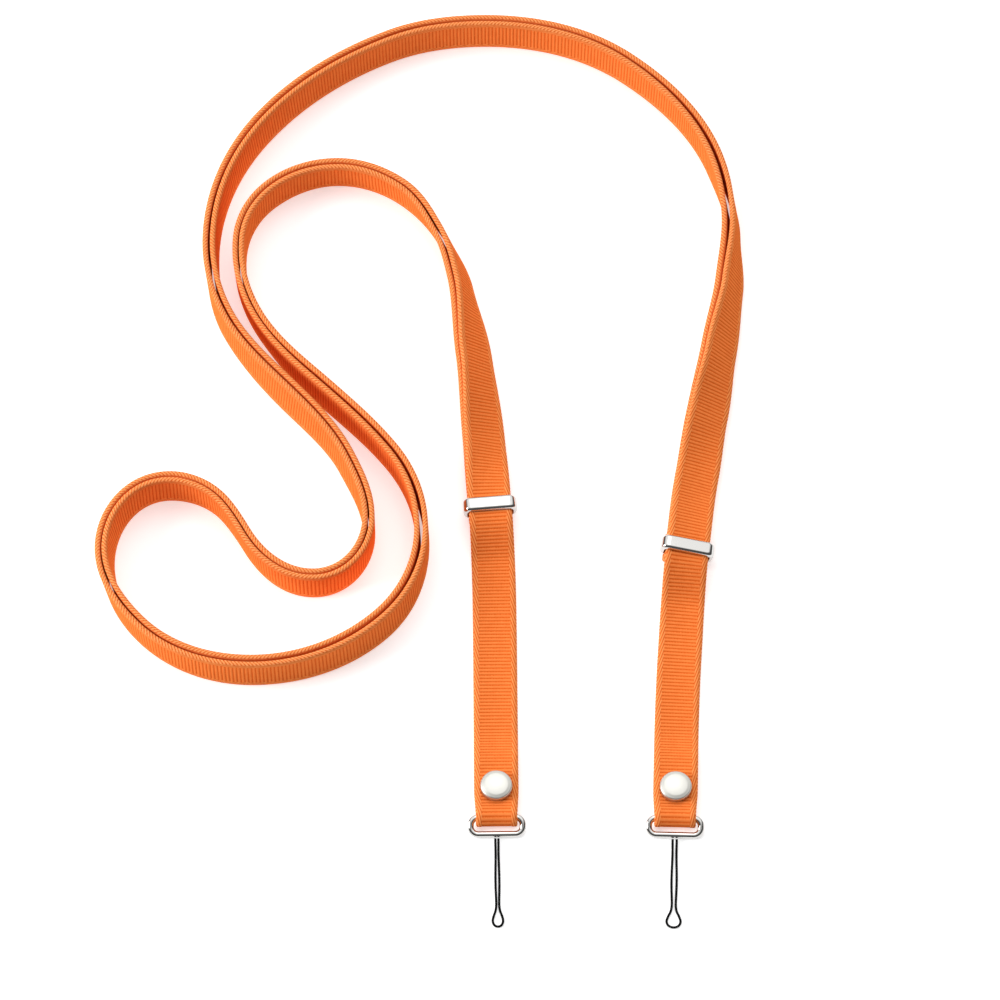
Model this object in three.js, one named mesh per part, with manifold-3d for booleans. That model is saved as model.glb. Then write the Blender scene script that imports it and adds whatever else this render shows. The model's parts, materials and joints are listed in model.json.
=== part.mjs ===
// A crossbody strap for a phone: two long plies of webbing with a keeper, a snap and a ring at each end.
// Millimetres, +Z up. It lies on a surface at Z = 0, and the origin is at the middle of its footprint.
// Each ply is folded round its own ring, runs through the keeper beside it, follows the other ply round
// the loops, and ends folded round the back bar of the far keeper, so both keepers set the length.

import * as THREE from "three";
import { mergeVertices } from "three/addons/utils/BufferGeometryUtils.js";
import Module from "manifold-3d";

const wasm = await Module();
wasm.setup();

// Clearance between pieces that touch
const CLEARANCE = 0.3;

// Webbing
const WEBBING_WIDTH = 15;
const WEBBING_THICKNESS = 1.8;
const SELVEDGE_ROUND = 0.45;
const FOLD_PINCH = 0.5;

// Footprint of the lay, between the middle lines of the webbing
const LAY_WIDTH = 216;
const LAY_DEPTH = 305;

// Ring
const RING_WIRE = 2.2;
const RING_PITCH = 5.7;
const RING_CORNER = 2;
const RING_SIDE_ROOM = 0.15;

// Snap
const SNAP_FROM_RING = 10.1;
const CAP_DIAMETER = 10.6;
const CAP_RIM = 2;
const CAP_DOME = 0.7;
const POST_DIAMETER = 3;
const BASE_DIAMETER = 9.6;
const BASE_HEIGHT = 1.2;
const BASE_FLOOR = 0.5;
const TAIL_PAST_CAP = 2;

// Keeper, the sliding loop that the webbing runs through
const KEEPER_LENGTH = 5.3;
const KEEPER_WALL = 1.45;
const KEEPER_SIDE_ROOM = 0.35;
const KEEPER_ROUND = 2.2;
const KEEPER_EDGE = 0.35;
const KEEPER_TAIL = 8;
const KEEPER_DROP = 17;
const KEEPER_RAMP = 28;
const LEG_DROP = 15;

// Cord loop
const CORD_DIAMETER = 0.85;

// Fineness of the faceted surfaces
const ROUTE_STEP = 5.7;
const RAMP_STEPS = 6;
const FOLD_STEPS = 8;

// Sizes that follow from the ones above
const PLY_PITCH = WEBBING_THICKNESS + CLEARANCE;
const PACK_HALF = WEBBING_THICKNESS + CLEARANCE / 2;
const HALF_PLY = WEBBING_THICKNESS / 2;
const RING_RADIUS = RING_WIRE / 2;
const RING_FOLD_RADIUS = RING_RADIUS + CLEARANCE + HALF_PLY;
const RING_BAR_HEIGHT = HALF_PLY + RING_FOLD_RADIUS;
const RING_INNER_WIDTH = WEBBING_WIDTH + 2 * RING_SIDE_ROOM;
const KEEPER_INNER_HEIGHT = 2 * PACK_HALF + 2 * CLEARANCE;
const KEEPER_INNER_WIDTH = WEBBING_WIDTH + 2 * KEEPER_SIDE_ROOM;
const KEEPER_FOLD_RADIUS = KEEPER_WALL / 2 + CLEARANCE + HALF_PLY;
const KEEPER_LIFT = WEBBING_THICKNESS + KEEPER_WALL + 2 * CLEARANCE;
const KEEPER_PASS_HEIGHT = KEEPER_LIFT + PACK_HALF + PLY_PITCH / 2;
const SNAP_TAIL_HEIGHT = BASE_HEIGHT + CLEARANCE + HALF_PLY;
const SNAP_FRONT_HEIGHT = SNAP_TAIL_HEIGHT + PLY_PITCH;
const HOLE_RADIUS = POST_DIAMETER / 2 + CLEARANCE;
const CAP_RADIUS = CAP_DIAMETER / 2;
const BASE_RADIUS = BASE_DIAMETER / 2;
const TAIL_LENGTH = SNAP_FROM_RING + CAP_RADIUS + TAIL_PAST_CAP;

// How the strap lies. across and along are shares of the lay's width and depth, heading is the way it
// runs, in degrees from +X, and roll leans its upper edge: 0 stands on edge, 90 and -90 lie flat. gape
// is how far the two plies part there, as a share of the webbing's thickness.
const LAY = [
  { at: "left ring", across: 0.117, along: -0.001, heading: 90.7, roll: 90, gape: 0 },
  { at: "left leg", across: 0.1137, along: 0.248, heading: 90.7, roll: 90, gape: 0 },
  { at: "left keeper", across: 0.1061, along: 0.3764, heading: 95, roll: 90, gape: 0 },
  { at: "left turn low", across: 0.0965, along: 0.461, heading: 95, roll: 66, gape: 0 },
  { at: "left turn middle", across: 0.0806, along: 0.565, heading: 97.5, roll: 45, gape: 0.1 },
  { at: "left turn high", across: 0.058, along: 0.66, heading: 102, roll: 22, gape: 0.2 },
  { at: "left edge up", across: 0.0258, along: 0.7225, heading: 117, roll: 12.5, gape: 0.2 },
  { at: "small loop right", across: -0.0345, along: 0.779, heading: 142, roll: 5, gape: 0.15 },
  { at: "small loop top", across: -0.142, along: 0.807, heading: 180, roll: 4, gape: 0.15 },
  { at: "small loop left", across: -0.25, along: 0.7785, heading: 220, roll: 0, gape: 0.15 },
  { at: "small loop west", across: -0.2998, along: 0.7085, heading: 266, roll: -1.5, gape: 0.08 },
  { at: "small loop low", across: -0.2564, along: 0.5977, heading: 303, roll: -4.5, gape: 0.1 },
  { at: "first bend", across: -0.164, along: 0.5219, heading: 316, roll: 2, gape: 0.35 },
  { at: "lower loop high", across: -0.0507, along: 0.4369, heading: 307, roll: 0, gape: 0.4 },
  { at: "lower loop east", across: -0.0016, along: 0.33, heading: 268, roll: -1.5, gape: 0.45 },
  { at: "lower loop turn", across: -0.0635, along: 0.2275, heading: 224, roll: -5, gape: 0.4 },
  { at: "lower loop south", across: -0.267, along: 0.1707, heading: 180, roll: -1.5, gape: 0.3 },
  { at: "lower loop far turn", across: -0.4413, along: 0.2204, heading: 134, roll: 2.5, gape: 0.2 },
  { at: "lower loop west", across: -0.5022, along: 0.3135, heading: 90, roll: 8, gape: 0.15 },
  { at: "lower loop north", across: -0.401, along: 0.3995, heading: 0, roll: 1, gape: 0.1 },
  { at: "lower loop fall", across: -0.3128, along: 0.3692, heading: 309, roll: -3, gape: 0.1 },
  { at: "second bend", across: -0.2772, along: 0.3304, heading: 300, roll: -4, gape: 0.1 },
  { at: "tongue south", across: -0.172, along: 0.278, heading: 0, roll: 0, gape: 0.1 },
  { at: "tongue east", across: -0.0855, along: 0.346, heading: 88, roll: 0, gape: 0.15 },
  { at: "tongue return", across: -0.1225, along: 0.4302, heading: 116, roll: -4, gape: 0.2 },
  { at: "third bend", across: -0.2105, along: 0.5105, heading: 133, roll: -8, gape: 0.3 },
  { at: "big loop low", across: -0.314, along: 0.605, heading: 118, roll: -1, gape: 0.25 },
  { at: "big loop west", across: -0.3468, along: 0.706, heading: 90, roll: 4, gape: 0.28 },
  { at: "big loop shoulder", across: -0.273, along: 0.8605, heading: 53, roll: 6, gape: 0.3 },
  { at: "big loop rise", across: -0.0616, along: 0.9765, heading: 24, roll: 2.5, gape: 0.35 },
  { at: "big loop top", across: 0.099, along: 0.998, heading: 0, roll: 2, gape: 0.25 },
  { at: "big loop fall", across: 0.33, along: 0.9476, heading: 323, roll: 2.5, gape: 0.3 },
  { at: "big loop far shoulder", across: 0.4722, along: 0.8213, heading: 290, roll: -0.5, gape: 0.5 },
  { at: "big loop east", across: 0.498, along: 0.731, heading: 269.5, roll: -10, gape: 0.45 },
  { at: "right turn high", across: 0.493, along: 0.656, heading: 263, roll: -25.5, gape: 0.3 },
  { at: "right turn middle", across: 0.4742, along: 0.574, heading: 260, roll: -42, gape: 0.1 },
  { at: "right turn low", across: 0.4534, along: 0.492, heading: 258.5, roll: -62, gape: 0 },
  { at: "right turn end", across: 0.4361, along: 0.418, heading: 259.5, roll: -76, gape: 0 },
  { at: "right keeper", across: 0.4182, along: 0.3215, heading: 262.5, roll: -80, gape: 0 },
  { at: "right leg", across: 0.405, along: 0.202, heading: 266, roll: -90, gape: 0 },
  { at: "right ring", across: 0.3934, along: -0.002, heading: 268.5, roll: -90, gape: 0 },
];

// The left cord loop, as offsets from the middle of its ring's lower bar: out of the ring on one side,
// round a small bight and back on the other. The right loop bows a little further apart.
const CORD_ROUTE = [
  { across: -0.5, along: -0.2, up: 0 },
  { across: -0.5, along: -2, up: -0.05 },
  { across: -0.48, along: -4, up: -0.3 },
  { across: -0.5, along: -6.5, up: -0.62 },
  { across: -0.56, along: -9.5, up: -0.67 },
  { across: -0.62, along: -12.5, up: -0.67 },
  { across: -0.64, along: -15.5, up: -0.67 },
  { across: -0.6, along: -18.5, up: -0.67 },
  { across: -0.52, along: -21.5, up: -0.67 },
  { across: -0.5, along: -24, up: -0.67 },
  { across: -0.75, along: -26, up: -0.67 },
  { across: -1.35, along: -27.8, up: -0.67 },
  { across: -1.72, along: -29.6, up: -0.67 },
  { across: -1.22, along: -31.1, up: -0.67 },
  { across: 0, along: -31.7, up: -0.67 },
  { across: 1.22, along: -31.1, up: -0.67 },
  { across: 1.72, along: -29.6, up: -0.67 },
  { across: 1.35, along: -27.8, up: -0.67 },
  { across: 0.75, along: -26, up: -0.67 },
  { across: 0.5, along: -24, up: -0.67 },
  { across: 0.52, along: -21.5, up: -0.67 },
  { across: 0.6, along: -18.5, up: -0.67 },
  { across: 0.64, along: -15.5, up: -0.67 },
  { across: 0.62, along: -12.5, up: -0.67 },
  { across: 0.56, along: -9.5, up: -0.67 },
  { across: 0.5, along: -6.5, up: -0.62 },
  { across: 0.48, along: -4, up: -0.3 },
  { across: 0.5, along: -2, up: -0.05 },
  { across: 0.5, along: -0.2, up: 0 },
];

const UP = new THREE.Vector3(0, 0, 1);

function ease(share) {
  return (1 - Math.cos(Math.PI * share)) / 2;
}

// The lay as a list of close samples: place, way and roll, with the distance run so far
function sampleLay() {
  const samples = [];
  const stations = LAY.map((row) => ({
    name: row.at,
    place: new THREE.Vector2(row.across * LAY_WIDTH, row.along * LAY_DEPTH),
    way: THREE.MathUtils.degToRad(row.heading),
    roll: row.roll,
    gape: row.gape * WEBBING_THICKNESS,
  }));
  let run = 0;
  stations.forEach((from, index) => {
    const to = stations[index + 1];
    if (!to) {
      samples.push({ ...from, run });
      return;
    }
    const turn = Math.abs(Math.atan2(Math.sin(to.way - from.way), Math.cos(to.way - from.way)));
    const chord = from.place.distanceTo(to.place);
    const reach = turn < 1e-4 ? chord / 3 : (chord * 2 * Math.tan(turn / 4)) / (3 * Math.sin(turn / 2));
    const lead = new THREE.Vector2(Math.cos(from.way), Math.sin(from.way)).multiplyScalar(reach);
    const trail = new THREE.Vector2(Math.cos(to.way), Math.sin(to.way)).multiplyScalar(-reach);
    const curve = new THREE.CubicBezierCurve(
      from.place,
      from.place.clone().add(lead),
      to.place.clone().add(trail),
      to.place,
    );
    const steps = Math.max(2, Math.ceil(curve.getLength() / ROUTE_STEP));
    for (let step = 0; step < steps; step++) {
      const share = step / steps;
      const eased = THREE.MathUtils.smoothstep(share, 0, 1);
      samples.push({
        place: curve.getPoint(share),
        roll: THREE.MathUtils.lerp(from.roll, to.roll, eased),
        gape: THREE.MathUtils.lerp(from.gape, to.gape, eased),
        run: run + curve.getLength() * share,
        name: step === 0 ? from.name : "",
      });
    }
    run += curve.getLength();
  });
  return samples;
}

// The same lay followed the other way round: the roll changes sign with the way
function reverseLay(lay) {
  const whole = lay[lay.length - 1].run;
  return lay
    .map((sample) => ({ ...sample, roll: -sample.roll, run: whole - sample.run }))
    .reverse();
}

// Place, way and roll at any distance along the lay, straight on before its start
function layAt(lay, run) {
  let index = lay.findIndex((sample) => sample.run > run) - 1;
  if (index === -2) index = lay.length - 2;
  index = Math.max(0, index);
  const from = lay[index];
  const to = lay[index + 1];
  const share = (run - from.run) / (to.run - from.run);
  const place = from.place.clone().lerp(to.place, share);
  const way = to.place.clone().sub(from.place).normalize();
  const roll = THREE.MathUtils.lerp(from.roll, to.roll, Math.max(0, share));
  return { place, way, roll };
}

// The directions of the webbing at a place: its width and its thickness, for a level way
function rolledAxes(way, roll) {
  const side = new THREE.Vector3(way.y, -way.x, 0);
  const angle = THREE.MathUtils.degToRad(roll);
  const width = UP.clone().multiplyScalar(Math.cos(angle)).addScaledVector(side, -Math.sin(angle));
  const face = side.multiplyScalar(Math.cos(angle)).addScaledVector(UP, Math.sin(angle));
  return { width, face };
}

// Turns points that each have a rough width direction into frames with square axes
function squareFrames(points) {
  return points.map((point, index) => {
    const before = points[Math.max(0, index - 1)].centre;
    const after = points[Math.min(points.length - 1, index + 1)].centre;
    const way = after.clone().sub(before).normalize();
    const face = way.clone().cross(point.width).normalize();
    const width = face.clone().cross(way).normalize();
    return { ...point, centre: point.centre.clone(), way, face, width };
  });
}

// The middle of the doubled webbing between the two keepers, raised off the surface at each keeper
function packFrames(lay, firstKeeper, lastKeeper) {
  const start = lay[firstKeeper].run;
  const end = lay[lastKeeper].run;
  const points = lay.slice(firstKeeper, lastKeeper + 1).map((sample, index) => {
    const way = wayAt(lay, firstKeeper + index);
    const { width } = rolledAxes(way, sample.roll);
    const fromKeeper = Math.min(sample.run - start, end - sample.run);
    const hold = KEEPER_LENGTH / 2;
    const share = THREE.MathUtils.clamp((fromKeeper - hold) / (KEEPER_RAMP - hold), 0, 1);
    const lying = Math.abs(Math.sin(THREE.MathUtils.degToRad(sample.roll)));
    const standing = Math.abs(Math.cos(THREE.MathUtils.degToRad(sample.roll)));
    const lift = KEEPER_LIFT * (1 - ease(share));
    const height = (WEBBING_WIDTH / 2) * standing + (PACK_HALF + sample.gape / 2 + lift) * lying;
    return { centre: new THREE.Vector3(sample.place.x, sample.place.y, height), width, gape: sample.gape };
  });
  const frames = squareFrames(points);
  levelFrame(frames[0], lay, firstKeeper);
  levelFrame(frames[frames.length - 1], lay, lastKeeper);
  return frames;
}

function wayAt(lay, index) {
  return lay[index + 1].place.clone().sub(lay[index - 1].place).normalize();
}

// A keeper sits square to the lay and level along it
function levelFrame(frame, lay, index) {
  const way = wayAt(lay, index);
  frame.way.set(way.x, way.y, 0);
  const { width, face } = rolledAxes(way, lay[index].roll);
  frame.width.copy(width);
  frame.face.copy(face);
}

// Distances and middle heights of the layers of a leg, from the ring's bar towards the keeper
function frontProfile(keeperRun) {
  const capStart = SNAP_FROM_RING - CAP_RADIUS;
  const tailEnd = TAIL_LENGTH + 2 * CLEARANCE;
  const hold = keeperRun - KEEPER_LENGTH / 2;
  return [
    { run: 0, height: RING_BAR_HEIGHT + RING_FOLD_RADIUS },
    { run: capStart, height: SNAP_FRONT_HEIGHT },
    { run: tailEnd, height: SNAP_FRONT_HEIGHT },
    { run: tailEnd + LEG_DROP, height: HALF_PLY },
    { run: hold - KEEPER_DROP, height: HALF_PLY },
    { run: hold, height: KEEPER_PASS_HEIGHT },
    { run: keeperRun, height: KEEPER_PASS_HEIGHT },
  ];
}

function tailProfile() {
  return [
    { run: 0, height: HALF_PLY },
    { run: SNAP_FROM_RING - CAP_RADIUS, height: SNAP_TAIL_HEIGHT },
    { run: TAIL_LENGTH, height: SNAP_TAIL_HEIGHT },
  ];
}

// Close samples of a profile, with more of them where its height changes
function sampleProfile(profile) {
  const samples = [];
  profile.slice(1).forEach((to, index) => {
    const from = profile[index];
    const level = Math.abs(to.height - from.height) < 1e-6;
    const steps = level ? Math.max(1, Math.ceil((to.run - from.run) / ROUTE_STEP)) : RAMP_STEPS;
    for (let step = 0; step < steps; step++) {
      const share = step / steps;
      samples.push({
        run: THREE.MathUtils.lerp(from.run, to.run, share),
        height: THREE.MathUtils.lerp(from.height, to.height, ease(share)),
      });
    }
  });
  samples.push({ ...profile[profile.length - 1] });
  return samples;
}

// A point of a single layer of a leg, at a distance from the ring and a height over the surface
function legPoint(lay, run, height, pinch = 0) {
  const { place, way, roll } = layAt(lay, run);
  const { width, face } = rolledAxes(way, roll);
  const lean = Math.abs(face.z);
  const rise = (WEBBING_WIDTH / 2) * Math.abs(width.z) + height * lean;
  const centre = new THREE.Vector3(place.x, place.y, rise);
  centre.x += (face.x * PLY_PITCH) / 2;
  centre.y += (face.y * PLY_PITCH) / 2;
  return { centre, width, pinch };
}

// The near end of a ply: its tail, the fold round the ring's bar and the front layer up to the keeper
function nearEnd(lay, keeperRun) {
  const tail = sampleProfile(tailProfile()).reverse();
  const points = tail.map(({ run, height }) => {
    const pinch = FOLD_PINCH * (1 - ease(Math.min(1, run / SNAP_FROM_RING)));
    return legPoint(lay, run, height, pinch);
  });
  for (let step = 1; step < FOLD_STEPS; step++) {
    const angle = (Math.PI * step) / FOLD_STEPS;
    const run = -RING_FOLD_RADIUS * Math.sin(angle);
    points.push(legPoint(lay, run, RING_BAR_HEIGHT - RING_FOLD_RADIUS * Math.cos(angle), FOLD_PINCH));
  }
  sampleProfile(frontProfile(keeperRun)).forEach(({ run, height }) => {
    const pinch = FOLD_PINCH * (1 - ease(Math.min(1, run / SNAP_FROM_RING)));
    points.push(legPoint(lay, run, height, pinch));
  });
  return squareFrames(points);
}

// The far end of a ply: the fold round the far keeper's back bar and the tail that lies under it
function farEnd(keeper) {
  const { centre, way, width } = keeper;
  const up = keeper.face.clone().negate();
  const barDepth = KEEPER_INNER_HEIGHT / 2 + KEEPER_WALL / 2;
  const barEnd = KEEPER_LENGTH / 2 - KEEPER_WALL / 2;
  const points = [];
  const at = (forward, rise) => {
    const place = centre.clone().addScaledVector(way, forward).addScaledVector(up, rise);
    points.push({ centre: place, width });
  };
  for (let step = 0; step <= FOLD_STEPS; step++) {
    const angle = (Math.PI * step) / FOLD_STEPS;
    const forward = barEnd + KEEPER_FOLD_RADIUS * Math.sin(angle);
    at(forward, -barDepth + KEEPER_FOLD_RADIUS * Math.cos(angle));
  }
  at(barEnd - KEEPER_TAIL / 2, -barDepth - KEEPER_FOLD_RADIUS);
  at(barEnd - KEEPER_TAIL, -barDepth - KEEPER_FOLD_RADIUS);
  return squareFrames(points);
}

// The section of the webbing, as shares of its half width and half thickness
function webbingSection(pinch = 0) {
  const half = WEBBING_WIDTH / 2 - pinch;
  const flat = half - SELVEDGE_ROUND;
  return [
    [half, 0],
    [flat, HALF_PLY],
    [-flat, HALF_PLY],
    [-half, 0],
    [-flat, -HALF_PLY],
    [flat, -HALF_PLY],
  ];
}

function circleSection(radius, sides) {
  return Array.from({ length: sides }, (_, side) => {
    const angle = (2 * Math.PI * side) / sides;
    return [radius * Math.cos(angle), radius * Math.sin(angle)];
  });
}

// Sweeps sections along frames. fallingDiagonal picks which way the quads split, so that two plies
// that lie face to face have the same facets.
function sweep(frames, sectionOf, closed, fallingDiagonal) {
  const positions = [];
  frames.forEach((frame) => {
    sectionOf(frame).forEach(([across, out]) => {
      const point = frame.centre.clone();
      point.addScaledVector(frame.width, across).addScaledVector(frame.face, out);
      positions.push(point.x, point.y, point.z);
    });
  });
  const sides = positions.length / 3 / frames.length;
  const section = sectionOf(frames[0]);
  const indices = [];
  const spans = closed ? frames.length : frames.length - 1;
  for (let span = 0; span < spans; span++) {
    for (let side = 0; side < sides; side++) {
      const next = (side + 1) % sides;
      const low = span * sides;
      const high = ((span + 1) % frames.length) * sides;
      const falls = section[side][0] >= section[next][0];
      if (falls === fallingDiagonal) {
        indices.push(low + side, low + next, high + next, low + side, high + next, high + side);
      } else {
        indices.push(low + side, low + next, high + side, low + next, high + next, high + side);
      }
    }
  }
  if (!closed) {
    const last = (frames.length - 1) * sides;
    for (let side = 1; side < sides - 1; side++) {
      indices.push(0, side + 1, side);
      indices.push(last, last + side, last + side + 1);
    }
  }
  const geometry = new THREE.BufferGeometry();
  geometry.setAttribute("position", new THREE.Float32BufferAttribute(positions, 3));
  geometry.setIndex(indices);
  return geometry;
}

function toSolid(geometry) {
  const bare = geometry.clone();
  bare.deleteAttribute("normal");
  bare.deleteAttribute("uv");
  const merged = mergeVertices(bare, 1e-4);
  return new wasm.Manifold(
    new wasm.Mesh({
      numProp: 3,
      vertProperties: new Float32Array(merged.attributes.position.array),
      triVerts: new Uint32Array(merged.index.array),
    }),
  );
}

function toGeometry(solid) {
  const mesh = solid.getMesh();
  const geometry = new THREE.BufferGeometry();
  geometry.setAttribute("position", new THREE.BufferAttribute(mesh.vertProperties, 3));
  geometry.setIndex(new THREE.BufferAttribute(mesh.triVerts, 1));
  geometry.computeVertexNormals();
  return geometry;
}

// One ply, with the hole for the snap's post through its front layer and its tail
function webbingPly(lay, pack, side, nearKeeper) {
  const keeperRun = lay[nearKeeper].run;
  const middle = pack.map((frame) => ({
    ...frame,
    centre: frame.centre.clone().addScaledVector(frame.face, (PLY_PITCH + frame.gape) / 2),
  }));
  const frames = [
    ...nearEnd(lay, keeperRun).slice(0, -1),
    ...middle,
    ...farEnd(pack[pack.length - 1]),
  ];
  const ply = toSolid(sweep(frames, (frame) => webbingSection(frame.pinch), false, side > 0));
  const snap = layAt(lay, SNAP_FROM_RING);
  const drill = new THREE.CylinderGeometry(HOLE_RADIUS, HOLE_RADIUS, 4 * SNAP_FRONT_HEIGHT, 20);
  drill.rotateX(Math.PI / 2);
  drill.translate(snap.place.x, snap.place.y, 0);
  return toGeometry(ply.subtract(toSolid(drill)));
}

// The ring: one round wire bent to an oblong. Its upper bar is the origin, its lower bar lies along -Y.
function ringGeometry() {
  const halfWidth = (RING_INNER_WIDTH + RING_WIRE) / 2;
  const corners = [
    { x: halfWidth - RING_CORNER, y: -RING_CORNER, start: 90 },
    { x: halfWidth - RING_CORNER, y: RING_CORNER - RING_PITCH, start: 0 },
    { x: RING_CORNER - halfWidth, y: RING_CORNER - RING_PITCH, start: -90 },
    { x: RING_CORNER - halfWidth, y: -RING_CORNER, start: -180 },
  ];
  const cornerSteps = 5;
  const frames = [];
  corners.forEach(({ x, y, start }) => {
    for (let step = 0; step <= cornerSteps; step++) {
      const angle = THREE.MathUtils.degToRad(start - (90 * step) / cornerSteps);
      const out = new THREE.Vector3(Math.cos(angle), Math.sin(angle), 0);
      const centre = new THREE.Vector3(x, y, 0).addScaledVector(out, RING_CORNER);
      frames.push({ centre, width: UP.clone(), face: out.clone().negate() });
    }
  });
  return sweep(frames, () => circleSection(RING_RADIUS, 12), true, true);
}

// The keeper: a flat loop with rounded ends, X across the strap, Y along it, Z off the surface
function keeperGeometry() {
  const halfWidth = KEEPER_INNER_WIDTH / 2;
  const halfHeight = KEEPER_INNER_HEIGHT / 2;
  const outline = new THREE.Shape();
  roundedOutline(outline, halfWidth + KEEPER_WALL, halfHeight + KEEPER_WALL, KEEPER_ROUND, KEEPER_EDGE);
  const opening = new THREE.Path();
  roundedOutline(opening, halfWidth, halfHeight, KEEPER_ROUND - KEEPER_WALL, -KEEPER_EDGE);
  outline.holes.push(opening);
  const geometry = new THREE.ExtrudeGeometry(outline, {
    depth: KEEPER_LENGTH - 2 * KEEPER_EDGE,
    bevelSize: KEEPER_EDGE,
    bevelThickness: KEEPER_EDGE,
    bevelSegments: 1,
    curveSegments: 4,
  });
  geometry.translate(0, 0, KEEPER_EDGE - KEEPER_LENGTH / 2);
  geometry.rotateX(Math.PI / 2);
  return geometry;
}

// A rounded rectangle about the origin, drawn inside its size by the edge that a bevel adds back
function roundedOutline(path, halfWidth, halfHeight, radius, edge) {
  const x = halfWidth - edge;
  const y = halfHeight - edge;
  const round = Math.max(0.1, Math.min(radius - edge, y - 0.1));
  path.moveTo(-x + round, -y);
  path.lineTo(x - round, -y);
  path.absarc(x - round, -y + round, round, -Math.PI / 2, 0);
  path.lineTo(x, y - round);
  path.absarc(x - round, y - round, round, 0, Math.PI / 2);
  path.lineTo(-x + round, y);
  path.absarc(-x + round, y - round, round, Math.PI / 2, Math.PI);
  path.lineTo(-x, -y + round);
  path.absarc(-x + round, -y + round, round, Math.PI, 1.5 * Math.PI);
}

// The snap's cap and post in one piece, standing on the front layer
function capGeometry() {
  const underside = SNAP_FRONT_HEIGHT + HALF_PLY + CLEARANCE;
  const postEnd = BASE_FLOOR + CLEARANCE;
  const postRadius = POST_DIAMETER / 2;
  const profile = [
    new THREE.Vector2(0, postEnd),
    new THREE.Vector2(postRadius, postEnd),
    new THREE.Vector2(postRadius, underside),
    new THREE.Vector2(CAP_RADIUS - CAP_RIM / 4, underside),
    new THREE.Vector2(CAP_RADIUS, underside + CAP_RIM / 3),
    new THREE.Vector2(CAP_RADIUS, underside + (2 * CAP_RIM) / 3),
    new THREE.Vector2(CAP_RADIUS - CAP_RIM / 3, underside + CAP_RIM),
    new THREE.Vector2(CAP_RADIUS * 0.7, underside + CAP_RIM + CAP_DOME * 0.55),
    new THREE.Vector2(CAP_RADIUS * 0.36, underside + CAP_RIM + CAP_DOME * 0.89),
    new THREE.Vector2(0, underside + CAP_RIM + CAP_DOME),
  ];
  return new THREE.LatheGeometry(profile, 24).rotateX(Math.PI / 2);
}

// The snap's base under the tail, with the blind socket that the post ends in
function baseGeometry() {
  const profile = [
    new THREE.Vector2(0, 0),
    new THREE.Vector2(BASE_RADIUS, 0),
    new THREE.Vector2(BASE_RADIUS, BASE_HEIGHT),
    new THREE.Vector2(HOLE_RADIUS, BASE_HEIGHT),
    new THREE.Vector2(HOLE_RADIUS, BASE_FLOOR),
    new THREE.Vector2(0, BASE_FLOOR),
  ];
  return new THREE.LatheGeometry(profile, 24).rotateX(Math.PI / 2);
}

function cordGeometry(bow) {
  const reach = RING_RADIUS + CLEARANCE;
  const points = CORD_ROUTE.map(
    ({ across, along, up }) => new THREE.Vector3(across * bow, along - reach, up),
  );
  const section = new THREE.Shape();
  section.setFromPoints(
    circleSection(CORD_DIAMETER / 2, 8).map(([x, y]) => new THREE.Vector2(x, y)),
  );
  return new THREE.ExtrudeGeometry(section, {
    steps: 40,
    extrudePath: new THREE.CatmullRomCurve3(points),
  });
}

const orangeWebbing = { color: 0xe8702a, roughness: 0.85, metalness: 0 };
const polishedNickel = { color: 0xc9c8c4, roughness: 0.16, metalness: 1 };
const satinNickel = { color: 0xb9b6ae, roughness: 0.38, metalness: 1 };
const blackCord = { color: 0x121212, roughness: 0.7, metalness: 0 };

function piece(name, geometry, finish) {
  const mesh = new THREE.Mesh(geometry, new THREE.MeshStandardMaterial(finish));
  mesh.name = name;
  return mesh;
}

// Stands a piece with its X across the strap, its Y along the way and its Z away from the surface
function stand(mesh, centre, way, up) {
  const across = way.clone().cross(up).normalize();
  mesh.quaternion.setFromRotationMatrix(new THREE.Matrix4().makeBasis(across, way, up));
  mesh.position.copy(centre);
  return mesh;
}

// The hard pieces of one leg: keeper, ring and cord loop, snap cap and base
function legPieces(name, lay, keeper, up, bow) {
  const ring = layAt(lay, 0);
  const way = new THREE.Vector3(ring.way.x, ring.way.y, 0);
  const bar = new THREE.Vector3(ring.place.x, ring.place.y, RING_BAR_HEIGHT);
  const tilt = Math.asin((RING_BAR_HEIGHT - RING_RADIUS) / RING_PITCH);
  const tipped = new THREE.Group();
  tipped.add(piece(`ring_${name}`, ringGeometry(), polishedNickel));
  tipped.rotation.x = tilt;
  const levelled = new THREE.Group();
  levelled.add(tipped);
  const cord = piece(`cord_loop_${name}`, cordGeometry(bow), blackCord);
  cord.position.set(0, -RING_PITCH * Math.cos(tilt), -RING_PITCH * Math.sin(tilt));
  levelled.add(cord);
  const snap = layAt(lay, SNAP_FROM_RING).place;
  const cap = piece(`snap_cap_${name}`, capGeometry(), satinNickel);
  const base = piece(`snap_base_${name}`, baseGeometry(), satinNickel);
  cap.position.set(snap.x, snap.y, 0);
  base.position.set(snap.x, snap.y, 0);
  return [
    stand(piece(`slider_${name}`, keeperGeometry(), polishedNickel), keeper.centre, keeper.way, up),
    stand(levelled, bar, way, UP),
    cap,
    base,
  ];
}

const lay = sampleLay();
const backwards = reverseLay(lay);
const leftKeeper = lay.findIndex((sample) => sample.name === "left keeper");
const rightKeeper = lay.findIndex((sample) => sample.name === "right keeper");
const lastSample = lay.length - 1;
const packRight = packFrames(lay, leftKeeper, rightKeeper);
const packLeft = [...packRight].reverse().map((frame) => ({
  ...frame,
  way: frame.way.clone().negate(),
  face: frame.face.clone().negate(),
}));

const strap = new THREE.Group();
strap.add(piece("strap_a", webbingPly(lay, packRight, 1, leftKeeper), orangeWebbing));
strap.add(piece("strap_b", webbingPly(backwards, packLeft, -1, lastSample - rightKeeper), orangeWebbing));
strap.add(...legPieces("left", lay, packRight[0], packRight[0].face, 1));
strap.add(...legPieces("right", backwards, packLeft[0], packLeft[0].face, 1.35));

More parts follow.
